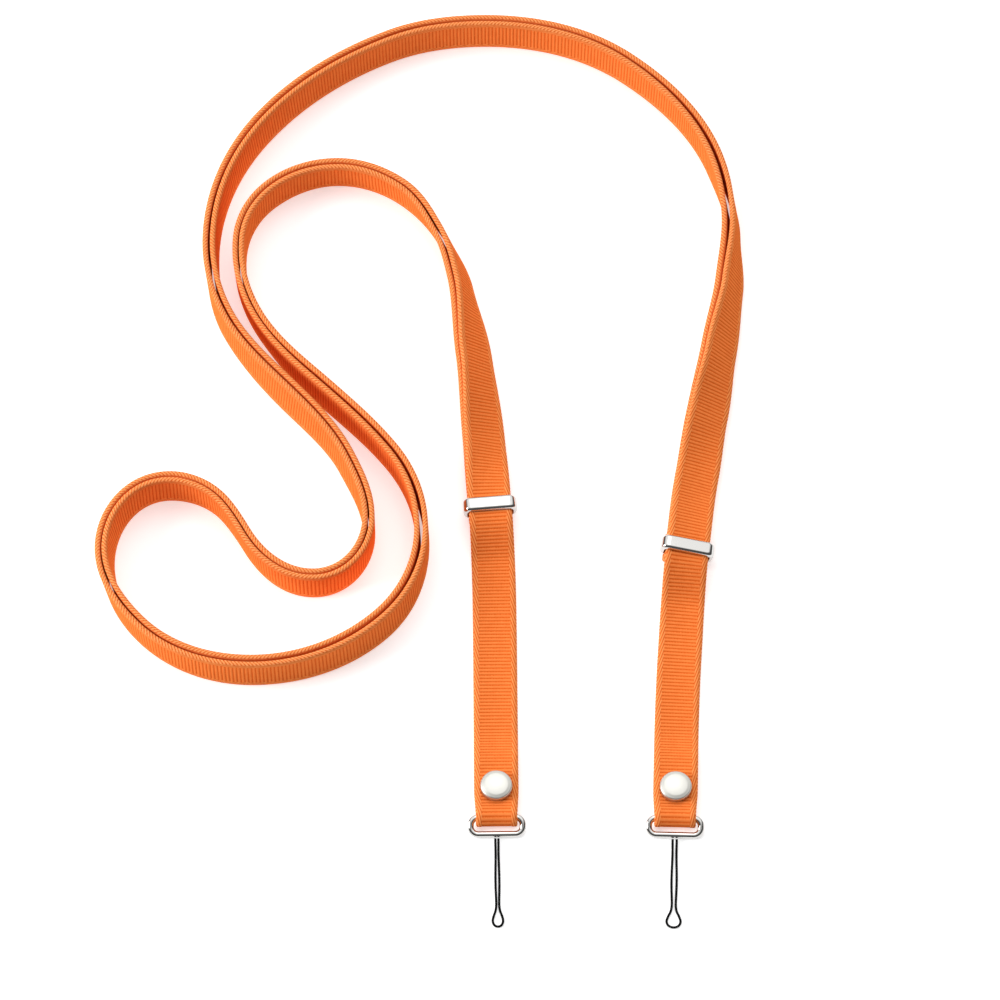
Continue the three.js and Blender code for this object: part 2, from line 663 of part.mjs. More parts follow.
// The origin goes to the middle of the footprint of everything but the cords
strap.updateMatrixWorld(true);
const footprint = new THREE.Box3();
strap.traverse((item) => {
  if (item.isMesh && !item.name.startsWith("cord")) {
    footprint.union(new THREE.Box3().setFromObject(item, true));
  }
});
const middle = footprint.getCenter(new THREE.Vector3());
strap.position.set(-middle.x, -middle.y, 0);

const crossbodyStrap = new THREE.Group();
crossbodyStrap.add(strap);

export default crossbodyStrap;
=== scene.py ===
"""A phone crossbody strap of doubled grosgrain webbing, lying in loose loops on a pale floor.

Metres, +Z up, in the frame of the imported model. The webbing follows the same lay and the same sizes as
the solids do, with its ribs, edge bands and selvedges; keepers, rings and snap caps are modelled afresh.
"""

import json
import math
from bisect import bisect_right
from collections import namedtuple

import bmesh
import bpy
from mathutils import Matrix, Vector

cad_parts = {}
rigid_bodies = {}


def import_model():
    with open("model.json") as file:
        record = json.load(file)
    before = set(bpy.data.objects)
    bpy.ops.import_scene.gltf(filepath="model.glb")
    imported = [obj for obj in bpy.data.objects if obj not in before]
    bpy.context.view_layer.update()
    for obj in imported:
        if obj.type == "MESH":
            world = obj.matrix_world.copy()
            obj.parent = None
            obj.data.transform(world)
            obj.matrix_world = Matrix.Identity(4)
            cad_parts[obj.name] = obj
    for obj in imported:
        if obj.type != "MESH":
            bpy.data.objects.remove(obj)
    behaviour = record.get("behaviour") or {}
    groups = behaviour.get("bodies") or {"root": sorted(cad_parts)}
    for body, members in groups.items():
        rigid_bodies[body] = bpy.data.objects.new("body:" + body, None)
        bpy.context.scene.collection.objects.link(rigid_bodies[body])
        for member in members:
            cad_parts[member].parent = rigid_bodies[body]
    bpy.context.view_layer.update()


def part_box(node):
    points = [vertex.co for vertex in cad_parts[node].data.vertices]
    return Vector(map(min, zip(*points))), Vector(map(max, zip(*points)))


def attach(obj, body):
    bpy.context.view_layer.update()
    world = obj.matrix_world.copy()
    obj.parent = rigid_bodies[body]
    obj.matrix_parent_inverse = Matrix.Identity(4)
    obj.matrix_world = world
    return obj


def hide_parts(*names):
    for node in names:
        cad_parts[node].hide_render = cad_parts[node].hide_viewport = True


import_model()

MM = 0.001
UP = Vector((0, 0, 1))

# Shares of a face's normal along an axis: it faces that way above FACING, is square to the axis above
# SQUARE, and stands beside it below BESIDE
FACING = 0.9
SQUARE = 0.99
BESIDE = 0.1

# Rounding of metal edges: steps in a rounded edge, the least angle that is rounded, and the least angles
# that stay sharp when a piece is shaded, in degrees
EDGE_STEPS = 4
ROUNDED_ANGLE = 35
SHARP_ANGLE = 40
CAP_SHARP_ANGLE = 50

# Clearance between pieces that touch
CLEARANCE = 0.3 * MM

# Webbing
WEBBING_WIDTH = 15 * MM
WEBBING_THICKNESS = 1.8 * MM
SELVEDGE_ROUND = 0.45 * MM
FOLD_PINCH = 0.5 * MM
HALF_PLY = WEBBING_THICKNESS / 2
PLY_PITCH = WEBBING_THICKNESS + CLEARANCE
PACK_HALF = WEBBING_THICKNESS + CLEARANCE / 2

# Weave: cross ribs in the middle, a band of twill along both edges, and looped selvedges. SHOULDER_HEIGHT
# is a share of half the thickness.
RIB_PITCH = 1.27 * MM
RIB_DEPTH = 0.16 * MM
EDGE_BAND = 2.1 * MM
SELVEDGE_RELIEF = 0.08 * MM
SELVEDGE_SHOULDER = 0.12 * MM
SHOULDER_HEIGHT = 0.62
BAND_SLOPE = 0.3 * MM
ROWS_PER_RIB = 4

# Steps in a ply's fold round a bar
FOLD_STEPS = 24

# Pattern of the weave: millimetres between warps and between twill lines, and ribs or millimetres that
# a line leans by for each of the other
WARP_PITCH = 0.52
TWILL_PITCH = 0.85
TWILL_LEAN = 0.45
SELVEDGE_LEAN = 0.55
RIB_WANDER = 0.25

# How dark the pattern gets: the sharpness of its lines, the share of the grooves that the warps break up,
# and what stray threads and large patches add. The darkness of the grooves is painted shade; warps, stray
# threads and patches are the weave's own tone. ZONE_BLUR is the millimetres over which one zone turns into
# the next.
GROOVE_SHARPNESS = 2
TWILL_SHARPNESS = 1.6
LOOP_SHARPNESS = 1.2
WARP_SHARE = 0.4
STRAY_IN_RIBS = 0.7
STRAY_IN_TWILL = 0.4
STRAY_IN_LOOPS = 0.9
PATCH_CONTRAST = 0.5
PATCH_DARK = 0.05
ZONE_BLUR = 0.2

# How high each part of the pattern stands, as a share of the bump's depth
RIB_HEIGHT = 0.5
WARP_HEIGHT = 0.2
TWILL_HEIGHT = 0.5
LOOP_HEIGHT = 0.6
STRAY_HEIGHT = 0.2

# Ring
RING_WIRE = 2.2 * MM
RING_RADIUS = RING_WIRE / 2
RING_PITCH = 5.7 * MM
RING_CORNER = 2.6 * MM
RING_SIDE_ROOM = 0.15 * MM
RING_SEGMENTS = 64
WIRE_SEGMENTS = 24
RING_INNER_WIDTH = WEBBING_WIDTH + 2 * RING_SIDE_ROOM
RING_FOLD_RADIUS = RING_RADIUS + CLEARANCE + HALF_PLY
RING_BAR_HEIGHT = HALF_PLY + RING_FOLD_RADIUS
RING_TILT = math.asin((RING_BAR_HEIGHT - RING_RADIUS) / RING_PITCH)

# Snap
SNAP_FROM_RING = 10.1 * MM
CAP_RADIUS = 5.3 * MM
CAP_RIM = 2 * MM
CAP_DOME = 0.7 * MM
CAP_ROUND = 0.7 * MM
CAP_SEGMENTS = 96
CAP_ROUND_STEPS = 5
DOME_RINGS = 10
POST_RADIUS = 1.5 * MM
TAIL_PAST_CAP = 2 * MM
BASE_HEIGHT = 1.2 * MM
BASE_FLOOR = 0.5 * MM
SNAP_TAIL_HEIGHT = BASE_HEIGHT + CLEARANCE + HALF_PLY
SNAP_FRONT_HEIGHT = SNAP_TAIL_HEIGHT + PLY_PITCH
TAIL_LENGTH = SNAP_FROM_RING + CAP_RADIUS + TAIL_PAST_CAP

# Keeper
KEEPER_LENGTH = 5.3 * MM
KEEPER_WALL = 1.45 * MM
KEEPER_ROUND = 2.9 * MM
KEEPER_RIM = 1.3 * MM
KEEPER_EDGE = 0.15 * MM
KEEPER_ROUND_STEPS = 10
KEEPER_RIM_STEPS = 6
KEEPER_SIDE_ROOM = 0.35 * MM
KEEPER_INNER_WIDTH = WEBBING_WIDTH + 2 * KEEPER_SIDE_ROOM
KEEPER_INNER_HEIGHT = 2 * PACK_HALF + 2 * CLEARANCE
KEEPER_TAIL = 8 * MM
KEEPER_DROP = 17 * MM
KEEPER_RAMP = 28 * MM
KEEPER_LIFT = WEBBING_THICKNESS + KEEPER_WALL + 2 * CLEARANCE
KEEPER_PASS_HEIGHT = KEEPER_LIFT + PACK_HALF + PLY_PITCH / 2
KEEPER_FOLD_RADIUS = KEEPER_WALL / 2 + CLEARANCE + HALF_PLY
LEG_DROP = 15 * MM

# Cord loop
CORD_DIAMETER = 0.85 * MM
CORD_BRAID_TURN = 1.6 * MM
BRAID_STRANDS = 2
CORD_RELIEF = 0.05 * MM
CORD_SIDES = 12
CORD_STEPS = 12

# Footprint of the lay, between the middle lines of the webbing
LAY_WIDTH = 216 * MM
LAY_DEPTH = 305 * MM
FINE_STEP = 0.5 * MM

# A bend of fewer radians than this between two stations is straight
STRAIGHT = 1e-4

# How the strap lies. across and along are shares of the lay's width and depth, heading is the way it
# runs, in degrees from +X, and roll leans its upper edge: 0 stands on edge, 90 and -90 lie flat. gape
# is how far the two plies part there, as a share of the webbing's thickness.
Station = namedtuple("Station", "at across along heading roll gape")
LAY = [
    Station("left ring", 0.117, -0.001, 90.7, 90, 0),
    Station("left leg", 0.1137, 0.248, 90.7, 90, 0),
    Station("left keeper", 0.1061, 0.3764, 95, 90, 0),
    Station("left turn low", 0.0965, 0.461, 95, 66, 0),
    Station("left turn middle", 0.0806, 0.565, 97.5, 45, 0.1),
    Station("left turn high", 0.058, 0.66, 102, 22, 0.2),
    Station("left edge up", 0.0258, 0.7225, 117, 12.5, 0.2),
    Station("small loop right", -0.0345, 0.779, 142, 5, 0.15),
    Station("small loop top", -0.142, 0.807, 180, 4, 0.15),
    Station("small loop left", -0.25, 0.7785, 220, 0, 0.15),
    Station("small loop west", -0.2998, 0.7085, 266, -1.5, 0.08),
    Station("small loop low", -0.2564, 0.5977, 303, -4.5, 0.1),
    Station("first bend", -0.164, 0.5219, 316, 2, 0.35),
    Station("lower loop high", -0.0507, 0.4369, 307, 0, 0.4),
    Station("lower loop east", -0.0016, 0.33, 268, -1.5, 0.45),
    Station("lower loop turn", -0.0635, 0.2275, 224, -5, 0.4),
    Station("lower loop south", -0.267, 0.1707, 180, -1.5, 0.3),
    Station("lower loop far turn", -0.4413, 0.2204, 134, 2.5, 0.2),
    Station("lower loop west", -0.5022, 0.3135, 90, 8, 0.15),
    Station("lower loop north", -0.401, 0.3995, 0, 1, 0.1),
    Station("lower loop fall", -0.3128, 0.3692, 309, -3, 0.1),
    Station("second bend", -0.2772, 0.3304, 300, -4, 0.1),
    Station("tongue south", -0.172, 0.278, 0, 0, 0.1),
    Station("tongue east", -0.0855, 0.346, 88, 0, 0.15),
    Station("tongue return", -0.1225, 0.4302, 116, -4, 0.2),
    Station("third bend", -0.2105, 0.5105, 133, -8, 0.3),
    Station("big loop low", -0.314, 0.605, 118, -1, 0.25),
    Station("big loop west", -0.3468, 0.706, 90, 4, 0.28),
    Station("big loop shoulder", -0.273, 0.8605, 53, 6, 0.3),
    Station("big loop rise", -0.0616, 0.9765, 24, 2.5, 0.35),
    Station("big loop top", 0.099, 0.998, 0, 2, 0.25),
    Station("big loop fall", 0.33, 0.9476, 323, 2.5, 0.3),
    Station("big loop far shoulder", 0.4722, 0.8213, 290, -0.5, 0.5),
    Station("big loop east", 0.498, 0.731, 269.5, -10, 0.45),
    Station("right turn high", 0.493, 0.656, 263, -25.5, 0.3),
    Station("right turn middle", 0.4742, 0.574, 260, -42, 0.1),
    Station("right turn low", 0.4534, 0.492, 258.5, -62, 0),
    Station("right turn end", 0.4361, 0.418, 259.5, -76, 0),
    Station("right keeper", 0.4182, 0.3215, 262.5, -80, 0),
    Station("right leg", 0.405, 0.202, 266, -90, 0),
    Station("right ring", 0.3934, -0.002, 268.5, -90, 0),
]

# A cord loop in millimetres, as offsets from the middle of its ring's lower bar: out of the ring on one
# side, round a small bight and back on the other. Each loop's bow multiplies its offsets across.
CordPoint = namedtuple("CordPoint", "across along up")
CORD_ROUTE = [
    CordPoint(-0.5, -0.2, 0),
    CordPoint(-0.5, -2, -0.05),
    CordPoint(-0.48, -4, -0.3),
    CordPoint(-0.5, -6.5, -0.62),
    CordPoint(-0.56, -9.5, -0.67),
    CordPoint(-0.62, -12.5, -0.67),
    CordPoint(-0.64, -15.5, -0.67),
    CordPoint(-0.6, -18.5, -0.67),
    CordPoint(-0.52, -21.5, -0.67),
    CordPoint(-0.5, -24, -0.67),
    CordPoint(-0.75, -26, -0.67),
    CordPoint(-1.35, -27.8, -0.67),
    CordPoint(-1.72, -29.6, -0.67),
    CordPoint(-1.22, -31.1, -0.67),
    CordPoint(0, -31.7, -0.67),
    CordPoint(1.22, -31.1, -0.67),
    CordPoint(1.72, -29.6, -0.67),
    CordPoint(1.35, -27.8, -0.67),
    CordPoint(0.75, -26, -0.67),
    CordPoint(0.5, -24, -0.67),
    CordPoint(0.52, -21.5, -0.67),
    CordPoint(0.6, -18.5, -0.67),
    CordPoint(0.64, -15.5, -0.67),
    CordPoint(0.62, -12.5, -0.67),
    CordPoint(0.56, -9.5, -0.67),
    CordPoint(0.5, -6.5, -0.62),
    CordPoint(0.48, -4, -0.3),
    CordPoint(0.5, -2, -0.05),
    CordPoint(0.5, -0.2, 0),
]
LEFT_CORD_BOW = 1
RIGHT_CORD_BOW = 1.35

# Camera, as the photograph was taken. It aims at this place of the lay.
CAMERA_AIM = Vector((26.4, 120.24, 0)) * MM
CAMERA_ELEVATION = math.radians(63.14)
CAMERA_DISTANCE = 2
PIXELS_PER_METRE = 2904
PHOTO_WIDTH = 1000
SENSOR_WIDTH = 36

# The dome of light over the floor: its strength low down and high up, where it changes, and how much it
# leans towards the back
DOME_LOW = 0.1
DOME_HIGH = 1.3
DOME_MIDDLE = 0.75
DOME_SOFTNESS = 0.3
DOME_LEAN = 0.6

# Colours, as linear light
RIB_ORANGE = (0.96, 0.25, 0.06, 1)
# The groove colour is painted shade: the grooves between the ribs are made darker than the crests, as shade
# falls in them
RIB_GROOVE_SHADE = (0.66, 0.085, 0.003, 1)
TWILL_LIGHT = (0.97, 0.34, 0.1, 1)
TWILL_DARK = (0.7, 0.1, 0.012, 1)
SELVEDGE_LIGHT = (0.97, 0.4, 0.14, 1)
SELVEDGE_DARK = (0.7, 0.11, 0.015, 1)
NICKEL = (0.62, 0.61, 0.59, 1)
SATIN_NICKEL = (0.6, 0.592, 0.55, 1)
CORD_BLACK = (0.003, 0.003, 0.003, 1)
# The cord's shine colour is a painted highlight on the crossings of the braid's strands
CORD_PAINTED_HIGHLIGHT = (0.006, 0.006, 0.006, 1)
FLOOR_WHITE = (0.8, 0.8, 0.8, 1)
FLOOR_GLOW = 0.48
FLOOR_WIDTH = 6

# Softboxes: where they stand, how wide they are, and their power in watts
Softbox = namedtuple("Softbox", "place width power")
SOFTBOXES = {
    "softbox_above": Softbox(Vector((0.03, 0.49, 1.25)), 0.76, 3),
    "softbox_left": Softbox(Vector((-1.4, -0.2, 0.7)), 0.7, 20),
}

# Finishes: how rough and how glossy, and how much the haze or the grain adds to the roughness
WEBBING_ROUGHNESS = 0.8
POLISH_ROUGHNESS = 0.05
POLISH_HAZE = 0.09
SATIN_ROUGHNESS = 0.36
SATIN_GRAIN = 0.14
CORD_ROUGHNESS = 0.7
CORD_GLOSS = 0.05
FLOOR_ROUGHNESS = 0.9
FLOOR_GLOSS = 0.1

# Noise over the surfaces, per millimetre and per rib on webbing and per metre on metal, and the bumps
Grain = namedtuple("Grain", "scale detail")
STRAY = Grain(2.6, 2.0)
PATCHES = Grain(0.35, 3.0)
HAZE = Grain(900, 3.0)
RIPPLE = Grain(260, 1.0)
SATIN = Grain(5200, 2.0)
Relief = namedtuple("Relief", "depth strength")
WEAVE_RELIEF = Relief(0.14 * MM, 0.5)
RIPPLE_RELIEF = Relief(0.02 * MM, 0.25)
SATIN_RELIEF = Relief(0.012 * MM, 0.4)
BRAID_RELIEF = Relief(0.08 * MM, 0.9)


# Camera and light


def place_camera(target):
    sight = bpy.data.cameras.new("camera")
    sight.sensor_width = SENSOR_WIDTH
    sight.lens = PIXELS_PER_METRE * CAMERA_DISTANCE / PHOTO_WIDTH * SENSOR_WIDTH
    camera = bpy.data.objects.new("camera", sight)
    bpy.context.scene.collection.objects.link(camera)
    back = Vector((0, -math.cos(CAMERA_ELEVATION), math.sin(CAMERA_ELEVATION)))
    camera.location = target + back * CAMERA_DISTANCE
    camera.rotation_euler = (math.pi / 2 - CAMERA_ELEVATION, 0, 0)
    bpy.context.scene.camera = camera


def softbox(name, box, target):
    light = bpy.data.lights.new(name, "AREA")
    light.shape = "SQUARE"
    light.size = box.width
    light.energy = box.power
    lamp = bpy.data.objects.new(name, light)
    bpy.context.scene.collection.objects.link(lamp)
    lamp.location = box.place
    lamp.rotation_euler = (target - lamp.location).to_track_quat("-Z", "Y").to_euler()


def light_studio(target):
    """A dome that is bright above and behind and dark in front, and softboxes above and at the left."""
    for name, box in SOFTBOXES.items():
        softbox(name, box, target)
    bpy.context.scene.view_settings.view_transform = "Standard"
    world = bpy.data.worlds.new("studio")
    bpy.context.scene.world = world
    world.use_nodes = True
    air = world.node_tree.nodes["Background"]
    direction = add_node(world.node_tree, "ShaderNodeTexCoord", {}, {}, 0)
    north = add_node(world.node_tree, "ShaderNodeSeparateXYZ", {}, {0: direction}, 1)
    height = add_node(world.node_tree, "ShaderNodeSeparateXYZ", {}, {0: direction}, 2)
    dome = (height + north * DOME_LEAN).past(DOME_MIDDLE, DOME_SOFTNESS)
    plug(world.node_tree, air.inputs["Color"], (1, 1, 1, 1))
    plug(world.node_tree, air.inputs["Strength"], DOME_LOW + dome * (DOME_HIGH - DOME_LOW))


# Materials


class Signal:
    """A number carried by a node's socket. An expression on signals adds its Math nodes."""

    def __init__(self, tree, socket):
        self.tree = tree
        self.socket = socket

    def maths(self, operation, *values):
        node = self.tree.nodes.new("ShaderNodeMath")
        node.operation = operation
        for socket, value in zip(node.inputs, values):
            plug(self.tree, socket, value)
        return Signal(self.tree, node.outputs[0])

    def __add__(self, other):
        return self.maths("ADD", self, other)

    __radd__ = __add__

    def __sub__(self, other):
        return self.maths("SUBTRACT", self, other)

    def __rsub__(self, other):
        return self.maths("SUBTRACT", other, self)

    def __mul__(self, other):
        return self.maths("MULTIPLY", self, other)

    __rmul__ = __mul__

    def __pow__(self, other):
        return self.maths("POWER", self, other)

    def wave(self):
        """A smooth wave from 0 to 1 and back, one for each whole number."""
        return 0.5 - 0.5 * self.maths("COSINE", self * (2 * math.pi))

    def bounce(self, size):
        return self.maths("PINGPONG", self, size)

    def past(self, edge, softness):
        """0 before the edge and 1 past it, with a soft step."""
        step = (self - edge) * (1 / softness) + 0.5
        return step.maths("MINIMUM", step.maths("MAXIMUM", step, 0), 1)


def plug(tree, socket, value):
    if isinstance(value, Signal):
        tree.links.new(value.socket, socket)
    else:
        socket.default_value = value


def add_node(tree, kind, settings, inputs, output=0):
    """Any node but a Math node: its settings first, then the values or links of its sockets."""
    node = tree.nodes.new(kind)
    for setting, value in settings.items():
        setattr(node, setting, value)
    for socket, value in inputs.items():
        plug(tree, node.inputs[socket], value)
    return Signal(tree, node.outputs[output])


class Finish:
    """A material in the making, on the socket values that are the same all over it."""

    def __init__(self, name, constants):
        self.material = bpy.data.materials.new(name)
        self.material.use_nodes = True
        self.tree = self.material.node_tree
        self.shader = self.tree.nodes["Principled BSDF"]
        for socket, value in constants.items():
            self.set(socket, value)

    def set(self, socket, value):
        plug(self.tree, self.shader.inputs[socket], value)

    def node(self, kind, settings, inputs, output=0):
        return add_node(self.tree, kind, settings, inputs, output)

    def blend(self, share, first, second):
        settings = {"data_type": "RGBA"}
        return self.node("ShaderNodeMix", settings, {0: share, 6: first, 7: second}, 2)

    def bump(self, height, relief):
        inputs = {"Height": height, "Distance": relief.depth, "Strength": relief.strength}
        self.set("Normal", self.node("ShaderNodeBump", {}, inputs))

    def noise(self, vector, grain):
        inputs = {"Vector": vector, "Scale": grain.scale, "Detail": grain.detail}
        return self.node("ShaderNodeTexNoise", {}, inputs)


def woven(name, lean):
    """Grosgrain read from its weave map: distance round the section in mm, and ribs along it."""
    finish = Finish(name, {"Roughness": WEBBING_ROUGHNESS, "Specular IOR Level": 0})
    weave = finish.node("ShaderNodeUVMap", {"uv_map": "weave"}, {})
    girth = finish.node("ShaderNodeSeparateXYZ", {}, {0: weave}, 0)
    ribs = finish.node("ShaderNodeSeparateXYZ", {}, {0: weave}, 1)
    from_edge = girth.bounce(section_girth()[SELVEDGE_MIDDLE] / MM / 2)
    selvedge_end = section_girth()[SELVEDGE_END] / MM
    band_end = selvedge_end + (EDGE_BAND - SELVEDGE_ROUND) / MM
    in_ribs = from_edge.past(band_end, ZONE_BLUR)
    in_band = from_edge.past(selvedge_end - ZONE_BLUR / 2, ZONE_BLUR)
    patches = finish.noise(weave, PATCHES)
    stray = finish.noise(weave, STRAY)
    groove = (1 - (ribs + (stray - 0.5) * RIB_WANDER).wave()) ** GROOVE_SHARPNESS
    warps = (girth * (1 / WARP_PITCH)).wave()
    # Painted shade: the grooves between the ribs darken the colour, broken up by the warps; stray threads
    # add the weave's own tone
    rib_shade_and_tone = groove * (1 - WARP_SHARE + WARP_SHARE * warps) + (stray - 0.5) * STRAY_IN_RIBS
    twill = (girth * (1 / TWILL_PITCH) + ribs * (TWILL_LEAN * lean)).wave()
    twill_dark = (1 - twill) ** TWILL_SHARPNESS + (stray - 0.5) * STRAY_IN_TWILL
    loops = (ribs + girth * (SELVEDGE_LEAN * lean)).wave()
    loop_dark = (1 - loops) ** LOOP_SHARPNESS + (stray - 0.5) * STRAY_IN_LOOPS
    rib_colour = finish.blend(rib_shade_and_tone, RIB_ORANGE, RIB_GROOVE_SHADE)
    twill_colour = finish.blend(twill_dark, TWILL_LIGHT, TWILL_DARK)
    loop_colour = finish.blend(loop_dark, SELVEDGE_LIGHT, SELVEDGE_DARK)
    edge_colour = finish.blend(in_band, loop_colour, twill_colour)
    colour = finish.blend(in_ribs, edge_colour, rib_colour)
    tone = finish.blend((patches - 0.5) * PATCH_CONTRAST + PATCH_DARK, colour, TWILL_DARK)
    finish.set("Base Color", tone)
    edge_height = (1 - in_band) * loops * LOOP_HEIGHT + in_band * twill * TWILL_HEIGHT
    rib_height = warps * WARP_HEIGHT + (1 - groove) * RIB_HEIGHT
    height = in_ribs * rib_height + (1 - in_ribs) * edge_height
    finish.bump(height + stray * STRAY_HEIGHT, WEAVE_RELIEF)
    return finish.material


def polished():
    finish = Finish("polished_nickel", {"Metallic": 1.0, "Base Color": NICKEL})
    place = finish.node("ShaderNodeTexCoord", {}, {}, 3)
    haze = finish.noise(place, HAZE)
    finish.set("Roughness", POLISH_ROUGHNESS + haze * POLISH_HAZE)
    finish.bump(finish.noise(place, RIPPLE), RIPPLE_RELIEF)
    return finish.material


def satin():
    finish = Finish("satin_nickel", {"Metallic": 1.0, "Base Color": SATIN_NICKEL})
    place = finish.node("ShaderNodeTexCoord", {}, {}, 3)
    grain = finish.noise(place, SATIN)
    finish.set("Roughness", SATIN_ROUGHNESS + grain * SATIN_GRAIN)
    finish.bump(grain, SATIN_RELIEF)
    return finish.material


def braided():
    finish = Finish("black_cord", {"Roughness": CORD_ROUGHNESS, "Specular IOR Level": CORD_GLOSS})
    weave = finish.node("ShaderNodeUVMap", {"uv_map": "weave"}, {})
    turn = finish.node("ShaderNodeSeparateXYZ", {}, {0: weave}, 0)
    run = finish.node("ShaderNodeSeparateXYZ", {}, {0: weave}, 1)
    right = (turn * BRAID_STRANDS + run).wave()
    left = (turn * BRAID_STRANDS - run).wave()
    strands = right * left
    # Painted highlight: the crossings of the strands are coloured a little lighter than the rest of the cord
    finish.set("Base Color", finish.blend(strands, CORD_BLACK, CORD_PAINTED_HIGHLIGHT))
    finish.bump(strands, BRAID_RELIEF)
    return finish.material


def matt_floor():
    plain = {
        "Base Color": FLOOR_WHITE,
        "Roughness": FLOOR_ROUGHNESS,
        "Specular IOR Level": FLOOR_GLOSS,
        "Emission Color": (1, 1, 1, 1),
        "Emission Strength": FLOOR_GLOW,
    }
    return Finish("pale_floor", plain).material


# Swept pieces: webbing and cord


Point = namedtuple("Point", "centre width pinch")
Row = namedtuple("Row", "centre way width face pinch")


def ease(share):
    return (1 - math.cos(math.pi * share)) / 2


def between(start, end, share):
    return start + (end - start) * share


class Lay:
    """The middle line of the strap on the surface, with its roll and gape, by distance."""

    def __init__(self, samples):
        self.samples = samples
        self.runs = [sample[0] for sample in samples]
        self.length = self.runs[-1]

    def backwards(self):
        turned = [
            (self.length - run, place, -roll, gape)
            for run, place, roll, gape in reversed(self.samples)
        ]
        return Lay(turned)

    def place(self, run):
        after = min(max(bisect_right(self.runs, run), 1), len(self.runs) - 1)
        start, end = self.samples[after - 1], self.samples[after]
        share = (run - start[0]) / (end[0] - start[0])
        return between(start[1], end[1], share), start, end, min(max(share, 0), 1)

    def at(self, run):
        """Place, level way, roll and gape, straight on before the start."""
        place, start, end, share = self.place(run)
        way = self.place(run + FINE_STEP)[0] - self.place(run - FINE_STEP)[0]
        return place, way.normalized(), between(start[2], end[2], share), between(start[3], end[3], share)


def heading(degrees):
    return Vector((math.cos(math.radians(degrees)), math.sin(math.radians(degrees))))


def follow_lay():
    """The lay as close samples, and the distances of its named stations."""
    samples = []
    stations = {}
    run = 0
    for here, there in zip(LAY, LAY[1:]):
        start = Vector((here.across * LAY_WIDTH, here.along * LAY_DEPTH))
        end = Vector((there.across * LAY_WIDTH, there.along * LAY_DEPTH))
        turn = abs((math.radians(there.heading - here.heading) + math.pi) % (2 * math.pi) - math.pi)
        chord = (end - start).length
        reach = chord / 3
        if turn > STRAIGHT:
            reach = chord * 2 * math.tan(turn / 4) / (3 * math.sin(turn / 2))
        lead = start + heading(here.heading) * reach
        trail = end - heading(there.heading) * reach
        steps = math.ceil(chord / FINE_STEP)
        stations[here.at] = run
        last = start
        for step in range(steps):
            share = step / steps
            rest = 1 - share
            place = (
                start * rest**3
                + lead * (3 * rest**2 * share)
                + trail * (3 * rest * share**2)
                + end * share**3
            )
            run += (place - last).length
            last = place
            eased = share * share * (3 - 2 * share)
            roll = math.radians(between(here.roll, there.roll, eased))
            gape = between(here.gape, there.gape, eased) * WEBBING_THICKNESS
            samples.append((run, place, roll, gape))
        run += (end - last).length
    stations[LAY[-1].at] = run
    samples.append((run, end, math.radians(LAY[-1].roll), 0))
    return Lay(samples), stations


def rolled(way, roll):
    """The directions of the webbing's width and of its thickness, for a level way."""
    side = Vector((way.y, -way.x, 0))
    width = UP * math.cos(roll) - side * math.sin(roll)
    face = side * math.cos(roll) + UP * math.sin(roll)
    return width, face


def square_rows(points):
    rows = []
    for index, point in enumerate(points):
        before = points[max(0, index - 1)].centre
        after = points[min(len(points) - 1, index + 1)].centre
        way = (after - before).normalized()
        face = way.cross(point.width).normalized()
        rows.append(Row(point.centre, way, face.cross(way).normalized(), face, point.pinch))
    return rows


def level_row(lay, run, height):
    """A keeper's own frame, square to the lay and level along it."""
    place, way, roll, _ = lay.at(run)
    width, face = rolled(way, roll)
    return Row(Vector((place.x, place.y, height)), Vector((way.x, way.y, 0)), width, face, 0)


def pack_height(roll, gape, from_keeper):
    hold = KEEPER_LENGTH / 2
    share = min(max((from_keeper - hold) / (KEEPER_RAMP - hold), 0), 1)
    lift = KEEPER_LIFT * (1 - ease(share))
    standing = WEBBING_WIDTH / 2 * abs(math.cos(roll))
    return standing + (PACK_HALF + gape / 2 + lift) * abs(math.sin(roll))


def follow_pack(lay, start, end):
    """The middle of one ply of the doubled webbing, between the two keepers."""
    steps = math.ceil((end - start) / FINE_STEP)
    middle = []
    gapes = []
    for step in range(steps + 1):
        run = between(start, end, step / steps)
        place, way, roll, gape = lay.at(run)
        height = pack_height(roll, gape, min(run - start, end - run))
        middle.append(Point(Vector((place.x, place.y, height)), rolled(way, roll)[0], 0))
        gapes.append(gape)
    return [
        Point(row.centre + row.face * (PLY_PITCH + gape) / 2, row.width, 0)
        for row, gape in zip(square_rows(middle), gapes)
    ]


def follow_profile(profile):
    """Close samples of the heights of a layer, by distance from the ring."""
    samples = []
    for (run, height), (next_run, next_height) in zip(profile, profile[1:]):
        steps = math.ceil((next_run - run) / FINE_STEP)
        for step in range(steps):
            share = step / steps
            samples.append((between(run, next_run, share), between(height, next_height, ease(share))))
    samples.append(profile[-1])
    return samples


def leg_point(lay, run, height, pinch):
    place, way, roll, _ = lay.at(run)
    width, face = rolled(way, roll)
    rise = WEBBING_WIDTH / 2 * abs(width.z) + height * abs(face.z)
    centre = Vector((place.x + face.x * PLY_PITCH / 2, place.y + face.y * PLY_PITCH / 2, rise))
    return Point(centre, width, pinch)


def fold_pinch(run):
    return FOLD_PINCH * (1 - ease(min(1, run / SNAP_FROM_RING)))


